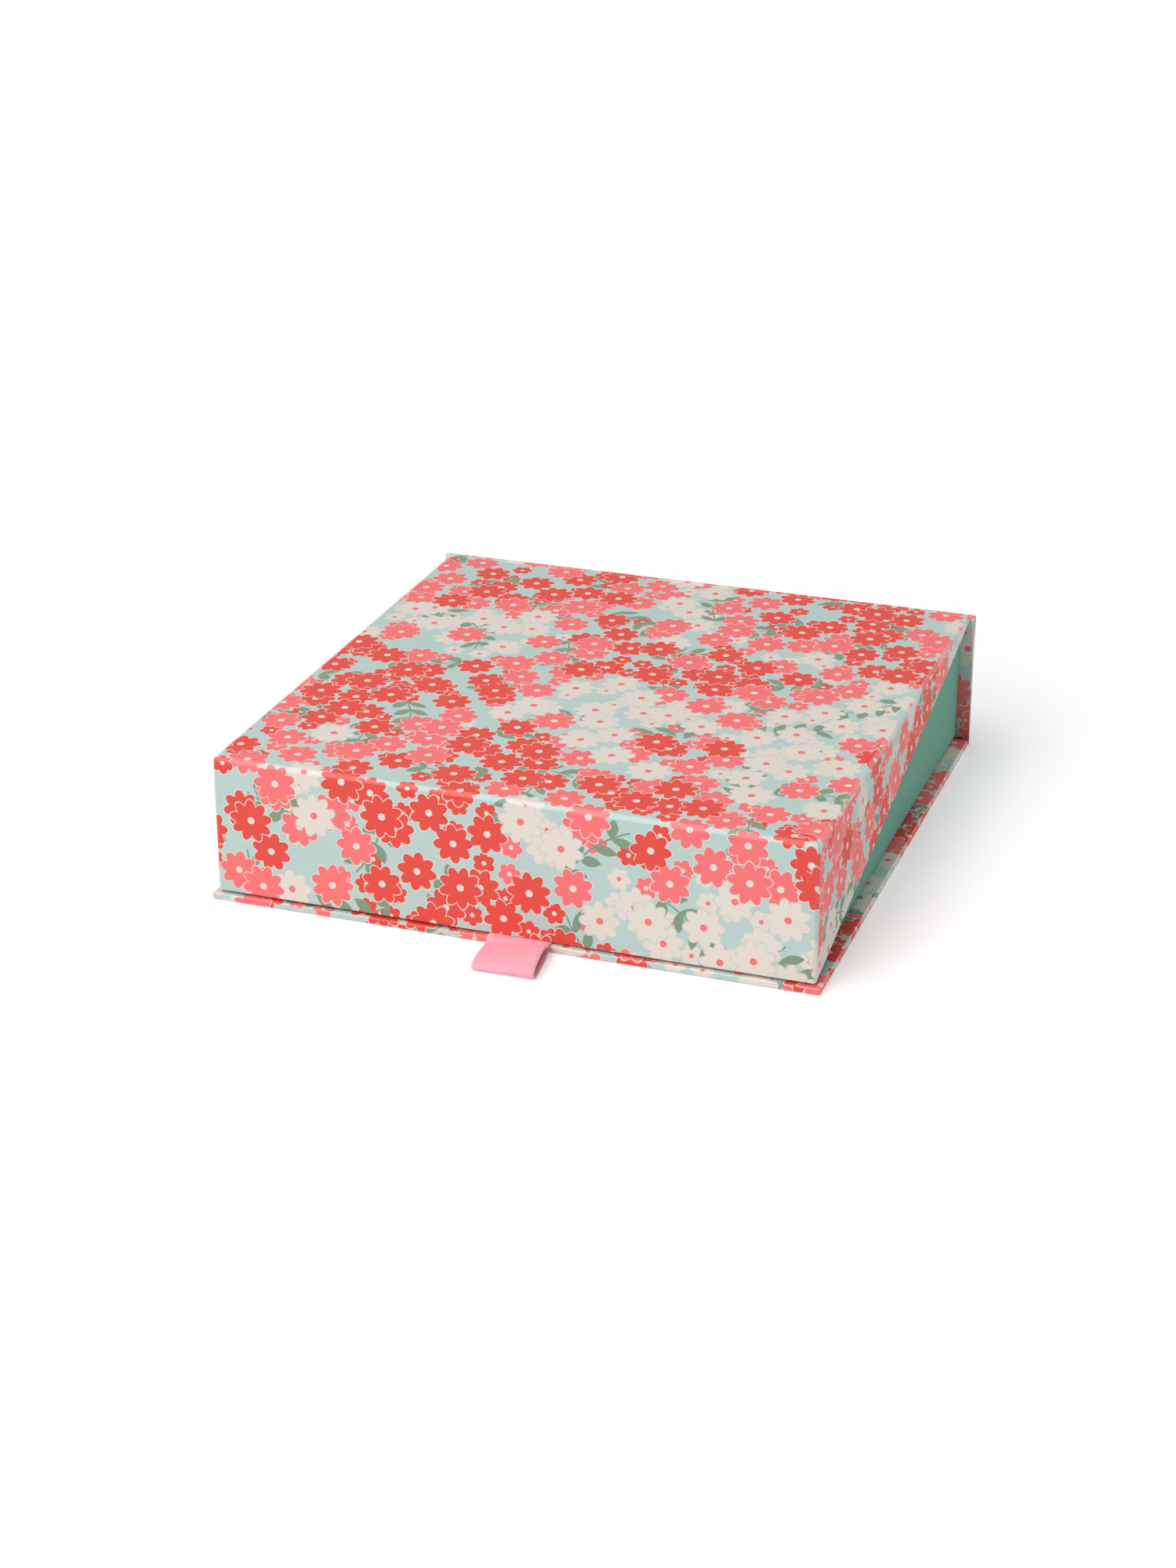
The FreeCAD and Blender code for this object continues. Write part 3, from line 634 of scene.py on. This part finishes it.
def smooth_line(points, steps):
    """Evenly spread places on a smooth curve guided by a few points, and the curve's length."""
    line = bpy.data.curves.new("guide", "CURVE")
    line.dimensions = "3D"
    spline = line.splines.new("NURBS")
    spline.points.add(len(points) - 1)
    for control, place in zip(spline.points, points):
        control.co = (*place, 1.0)
    spline.order_u = 3
    spline.use_endpoint_u = True
    spline.resolution_u = CURVE_FINENESS
    guide = bpy.data.objects.new("guide", line)
    bpy.context.scene.collection.objects.link(guide)
    traced = bpy.data.meshes.new_from_object(guide.evaluated_get(bpy.context.evaluated_depsgraph_get()))
    places = [vertex.co.copy() for vertex in traced.vertices]
    bpy.data.objects.remove(guide)
    bpy.data.curves.remove(line)
    bpy.data.meshes.remove(traced)
    reached = [0.0]
    for one, other in zip(places, places[1:]):
        reached.append(reached[-1] + (other - one).length)
    even = []
    span = 0
    for step in range(steps + 1):
        goal = reached[-1] * step / steps
        while span < len(places) - 2 and reached[span + 1] < goal:
            span += 1
        share = (goal - reached[span]) / (reached[span + 1] - reached[span])
        even.append(places[span].lerp(places[span + 1], share))
    return even, reached[-1]


def grid_piece(name, rows, sheet_places, material):
    """A smooth sheet through rows of places, with its print laid by places on the flat sheet."""
    wide = len(rows[0])
    faces = [
        (corner, corner + 1, corner + wide + 1, corner + wide)
        for row in range(len(rows) - 1) for corner in range(row * wide, (row + 1) * wide - 1)]
    mesh = bpy.data.meshes.new(name)
    mesh.from_pydata([place for row in rows for place in row], [], faces)
    flat = [place for row in sheet_places for place in row]
    sheet = mesh.uv_layers.new(name="sheet")
    for loop in mesh.loops:
        sheet.uv[loop.index].vector = flat[loop.vertex_index]
    mesh.materials.append(material)
    mesh.shade_smooth()
    piece = bpy.data.objects.new(name, mesh)
    bpy.context.scene.collection.objects.link(piece)
    return piece


bm = bmesh.new()
bm.from_mesh(lid_wrap.data)
lid_skin = BVHTree.FromBMesh(bm)
bm.free()


def raised_edge(name, corner_x, edge_guide, root_guide, rows, columns, lift, tuck):
    """Paper that rises from its root to a proud edge on the lid, and is tucked back in under it.
    The guides are in millimetres outward, back and up from the lid's front top corner."""
    outward = math.copysign(1.0, corner_x)
    edge, root = (
        smooth_line([
            (corner_x + outward * aside * MILLIMETRE, lid_low.y + back * MILLIMETRE,
             lid_high.z + above * MILLIMETRE)
            for aside, back, above in guide], rows)[0]
        for guide in (edge_guide, root_guide))
    places = []
    flat = []
    for number, (inner, outer) in enumerate(zip(root, edge)):
        row = []
        for column in range(columns + 1):
            share = column / columns
            rise = share * share * (3 - 2 * share)
            place, normal = lid_skin.find_nearest(inner.lerp(outer, share))[:2]
            row.append(place + normal * lift(number / rows) * rise)
        place, normal = lid_skin.find_nearest(inner.lerp(outer, tuck))[:2]
        row.append(place - normal * TUCK_DEPTH)
        places.append(row)
        flat.append([(place.x, place.y - (lid_high.z - place.z)) for place in row])
    piece = grid_piece(name, places, flat, printed_paper)
    middle = piece.data.polygons[len(piece.data.polygons) // 2]
    if middle.normal.dot(lid_skin.find_nearest(middle.center)[1]) < 0:
        piece.data.flip_normals()
    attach(piece, "lid")


def lap_height(along):
    """The lap keeps one height, and runs out at the top of its slit."""
    return LAP_LIFT * min(1.0, (1 - along) / LAP_RUN_OUT)


def pleat_height(along):
    """The pleat swells towards the corner and sinks into the slit below it."""
    return PLEAT_LIFT * math.sin(math.pi * along ** PLEAT_LEAN)


for side, corner_x in (("left", lid_low.x), ("right", lid_high.x)):
    raised_edge("lid_lap_" + side, corner_x, LAP_EDGE, LAP_ROOT, LAP_ROWS, LAP_COLUMNS, lap_height, LAP_TUCK)
raised_edge(
    "lid_pleat", lid_high.x, PLEAT_EDGE, PLEAT_ROOT, PLEAT_ROWS, PLEAT_COLUMNS, pleat_height, PLEAT_TUCK)

# Hinge strip
# The slack of the printed sheet between lid and spine, folded down into the gap with the lid shut.
HINGE_STEPS = 28
HINGE_COLUMNS = 40
HINGE_INSET = 0.0006
hinge_low, hinge_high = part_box("hinge_strip")
middle = (hinge_low.y + hinge_high.y) / 2
lip = lid_high.z - EDGE_FOLD
halfway_down = (lip + hinge_low.z) / 2
fold_line, slack = smooth_line(
    [(0.0, hinge_low.y, lip), (0.0, hinge_low.y + PAPER / 2, halfway_down),
     (0.0, middle - PAPER, hinge_low.z), (0.0, middle + PAPER, hinge_low.z),
     (0.0, hinge_high.y - PAPER / 2, halfway_down), (0.0, hinge_high.y, lip)], HINGE_STEPS)
half = lid_high.x - HINGE_INSET
across = [half * (2 * column / HINGE_COLUMNS - 1) for column in range(HINGE_COLUMNS + 1)]
hinge_strip = grid_piece(
    "hinge_strip_paper", [[Vector((x, place.y, place.z)) for x in across] for place in fold_line],
    [[(x, lid_high.y + slack * step / HINGE_STEPS) for x in across] for step in range(HINGE_STEPS + 1)],
    printed_paper)
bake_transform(hinge_strip)
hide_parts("hinge_strip")

# Ribbon pull
# A pink grosgrain ribbon, folded double. Its tails are glued into the foot of the lid's front wall,
# and its loop lies slack in front of the box, drawn a little to one side.
PINK = ink(255, 184, 197)
# Painted shade: the grooves between the ribs are coloured this darker pink.
PINK_GROOVE_SHADE = ink(253, 150, 168)
PINK_SELVEDGE = ink(255, 191, 203)
RIB_PITCH = 0.0007
RIB_HEIGHT = 0.00003
GROOVE_SHADE_RAMP = (0.2, 0.5)
GROOVE_SHADE_STRENGTH = 0.55
THREADS_PER_METRE = (600.0, 5000.0, 0.0)
STEPS_PER_RIB = 6
RIBBON_COLUMNS = 12
RIBBON_PLY = 0.00026
RIBBON_WIDTH = 0.022
SELVEDGE = 0.0007
SELVEDGE_RAMP = (SELVEDGE, 1.3 * SELVEDGE)
SELVEDGE_RISE = 0.00005
LOWER_TAIL = (
    (0.0, -106.68, 17.1), (0.0, -106.68, 9.0), (0.0, -106.68, 2.68), (0.0, -108.4, 2.68), (0.0, -110.1, 2.68))
UPPER_TAIL = (
    (0.0, -110.4, 3.03), (0.0, -108.6, 3.03), (0.0, -107.03, 3.03), (0.0, -107.03, 9.0), (0.0, -107.03, 17.1))
LEFT_LOOP = (
    (0.0, -110.9, 2.45), (0.0, -111.4, 1.5), (0.2, -113.0, 0.7), (0.6, -116.5, 0.25), (1.1, -121.5, 0.2),
    (1.6, -126.0, 0.2), (1.9, -129.6, 0.2), (2.0, -130.8, 0.9), (1.95, -130.2, 2.2), (1.6, -127.4, 2.6),
    (1.3, -124.0, 2.65), (0.9, -120.0, 2.3), (0.5, -116.0, 1.65), (0.2, -113.2, 1.4), (0.1, -111.8, 1.9),
    (0.0, -111.2, 2.9))
RIGHT_LOOP = (
    (0.0, -110.9, 2.45), (0.0, -111.4, 1.5), (0.2, -113.0, 0.7), (0.6, -116.5, 0.25), (1.1, -121.5, 0.2),
    (1.6, -126.0, 0.2), (1.9, -129.4, 0.25), (2.0, -130.9, 1.4), (1.95, -130.4, 3.3), (1.6, -127.2, 4.3),
    (1.2, -123.0, 4.8), (0.8, -119.0, 5.05), (0.5, -115.5, 4.6), (0.2, -113.2, 3.7), (0.1, -112.0, 3.2),
    (0.0, -111.2, 3.0))

pink_ribbon, tree, surface = finish_of("pink_ribbon", roughness=0.55, shine=0.3)
surface["Subsurface Weight"].default_value = 0.45
surface["Subsurface Radius"].default_value = (1.0, 0.4, 0.5)
surface["Subsurface Scale"].default_value = 0.00015
on_sheet = shade(tree, "UVMap", uv_map="sheet").outputs[0]
at = shade(tree, "SeparateXYZ", {0: on_sheet}).outputs
in_rib = reckon(tree, "FRACT", reckon(tree, "DIVIDE", at[1], RIB_PITCH))
crest = reckon(tree, "ABSOLUTE", reckon(tree, "SUBTRACT", in_rib, 0.5))
# Painted shade: a darker pink laid in the grooves between the mesh's ribs, varied along the threads by the
# slub.
groove_shade = reckon(tree, "MULTIPLY", soft_step(tree, crest, *GROOVE_SHADE_RAMP), GROOVE_SHADE_STRENGTH)
threads = shade(tree, "VectorMath", {0: on_sheet, 1: THREADS_PER_METRE}, operation="MULTIPLY").outputs[0]
slub = shade(tree, "TexNoise", {"Vector": threads, "Scale": 1.0, "Detail": 3.0}).outputs["Fac"]
shaded_weave = lay_over(tree, reckon(tree, "MULTIPLY", groove_shade, slub), PINK, PINK_GROOVE_SHADE)
from_edge = reckon(tree, "SUBTRACT", RIBBON_WIDTH / 2, reckon(tree, "ABSOLUTE", at[0]))
bound = soft_step(tree, from_edge, *SELVEDGE_RAMP)
tree.links.new(lay_over(tree, bound, shaded_weave, PINK_SELVEDGE), surface["Base Color"])
rough = shade(tree, "Bump", {"Height": slub, "Strength": 0.2, "Distance": 0.0001})
tree.links.new(rough.outputs[0], surface["Normal"])

ribbon_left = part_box("ribbon_pull")[0].x


def ribbon_edge(x, loop, steps):
    """Places along one edge of the ribbon, from tail to tail, and the edge's length. The tails and
    loops are guided in millimetres: drawn to the right, back and up."""
    return smooth_line([
        (x + drift * MILLIMETRE, y * MILLIMETRE, z * MILLIMETRE)
        for drift, y, z in LOWER_TAIL + loop + UPPER_TAIL], steps)


ribbon_length = ribbon_edge(0.0, LEFT_LOOP, 1)[1] / 2 + ribbon_edge(0.0, RIGHT_LOOP, 1)[1] / 2
ribbon_steps = STEPS_PER_RIB * round(ribbon_length / RIB_PITCH)
left_edge = ribbon_edge(ribbon_left, LEFT_LOOP, ribbon_steps)[0]
right_edge = ribbon_edge(ribbon_left + RIBBON_WIDTH, RIGHT_LOOP, ribbon_steps)[0]
rows = []
flat = []
for step, (left, right) in enumerate(zip(left_edge, right_edge)):
    before, after = max(step - 1, 0), min(step + 1, ribbon_steps)
    ahead = left_edge[after] - left_edge[before] + right_edge[after] - right_edge[before]
    outward = ahead.cross(right - left).normalized()
    rib = RIB_HEIGHT * math.cos(TURN * step / STEPS_PER_RIB)
    row = []
    flat_row = []
    for column in range(RIBBON_COLUMNS + 1):
        share = column / RIBBON_COLUMNS
        edge_rise = SELVEDGE_RISE if column in (0, RIBBON_COLUMNS) else 0.0
        row.append(left.lerp(right, share) + outward * (rib + edge_rise))
        flat_row.append((RIBBON_WIDTH * (share - 0.5), ribbon_length * step / ribbon_steps))
    rows.append(row)
    flat.append(flat_row)
ribbon = grid_piece("ribbon_loop", rows, flat, pink_ribbon)
ply = ribbon.modifiers.new("ply", "SOLIDIFY")
ply.thickness = RIBBON_PLY
ply.offset = 0.0
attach(ribbon, "lid")
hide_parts("ribbon_pull")

# Studio
# A white room under soft light: a bank high at the left front, one overhead, and low fills from the
# front and the right. The floor shows white where it is fully lit, and keeps the box's shadow.
WHITE = (1.0, 1.0, 1.0, 1.0)
FLOOR_HALF = 8.0
FLOOR_GAP = 0.0001
FLOOR_TONE = (0.915, 0.93, 0.93, 1.0)
FLOOR_LIFT = 0.28
SHADOW_REACH = 0.15
ROOM_LIGHT = 0.20


def seen_directly(tree):
    """1 for what is seen straight, in a gloss or through glass, and 0 for what only lights the box."""
    ray = shade(tree, "LightPath").outputs
    mirrored = reckon(tree, "MAXIMUM", ray["Is Glossy Ray"], ray["Is Transmission Ray"])
    return reckon(tree, "MAXIMUM", ray["Is Camera Ray"], mirrored)


floor_mesh = bpy.data.meshes.new("floor")
floor_mesh.from_pydata(
    [(x * FLOOR_HALF, y * FLOOR_HALF, 0.0) for x, y in ((-1, -1), (1, -1), (1, 1), (-1, 1))],
    [], [(0, 1, 2, 3)])
floor = bpy.data.objects.new("floor", floor_mesh)
floor.location.z = cad_box[0].z - FLOOR_GAP
bpy.context.scene.collection.objects.link(floor)
sweep = bpy.data.materials.new("white_sweep")
sweep.use_nodes = True
tree = sweep.node_tree
tree.nodes.remove(tree.nodes["Principled BSDF"])
seen = seen_directly(tree)
from_box = shade(tree, "TexCoord").outputs["Object"]
reach = shade(tree, "VectorMath", {0: from_box}, operation="LENGTH").outputs["Value"]
clear = soft_step(tree, reach, full=2 * SHADOW_REACH, none=SHADOW_REACH)
matt = shade(tree, "BsdfDiffuse", {"Color": FLOOR_TONE})
lift = shade(tree, "Emission", {"Color": WHITE, "Strength": reckon(tree, "MULTIPLY", seen, FLOOR_LIFT)})
near = shade(tree, "AddShader", {0: matt.outputs[0], 1: lift.outputs[0]})
far = shade(tree, "Emission", {"Color": WHITE, "Strength": 1.0})
far_seen = reckon(tree, "MULTIPLY", seen, clear)
whole = shade(tree, "MixShader", {0: far_seen, 1: near.outputs[0], 2: far.outputs[0]})
tree.links.new(whole.outputs[0], tree.nodes["Material Output"].inputs["Surface"])
floor_mesh.materials.append(sweep)

world = bpy.data.worlds.new("room")
bpy.context.scene.world = world
world.use_nodes = True
tree = world.node_tree
room = tree.nodes["Background"].inputs
room["Color"].default_value = WHITE
tree.links.new(reckon(tree, "MAXIMUM", seen_directly(tree), ROOM_LIGHT), room["Strength"])


def softbox(name, place, size, power):
    """A square lamp that faces the box."""
    lamp = bpy.data.lights.new(name, "AREA")
    lamp.size = size
    lamp.energy = power
    light = bpy.data.objects.new(name, lamp)
    light.location = place
    light.rotation_euler = (-Vector(place)).to_track_quat("-Z", "Y").to_euler()
    bpy.context.scene.collection.objects.link(light)


softbox("left_bank", place=(-0.49, -0.69, 1.36), size=1.1, power=9.0)
softbox("top_bank", place=(-0.10, 0.0, 1.30), size=1.0, power=3.9)
softbox("front_fill", place=(-0.37, -1.36, 0.75), size=1.0, power=9.1)
softbox("right_fill", place=(1.35, 0.49, 0.44), size=0.8, power=4.5)

# Camera
# It stands above the box and to the right of its front, at the height and angle of the photograph,
# upright and with no shift.
AIM = Vector((-0.01015, 0.00154, 0.01084))
AZIMUTH = math.radians(19.278)
ELEVATION = math.radians(23.918)
DISTANCE = 1.08188
LENS = 67.98
toward_camera = Vector((
    math.sin(AZIMUTH) * math.cos(ELEVATION), -math.cos(AZIMUTH) * math.cos(ELEVATION), math.sin(ELEVATION)))
camera = bpy.data.objects.new("camera", bpy.data.cameras.new("camera"))
camera.data.lens = LENS
camera.location = AIM + DISTANCE * toward_camera
camera.rotation_euler = (-toward_camera).to_track_quat("-Z", "Y").to_euler()
bpy.context.scene.collection.objects.link(camera)
bpy.context.scene.camera = camera
bpy.context.scene.view_settings.view_transform = "Standard"
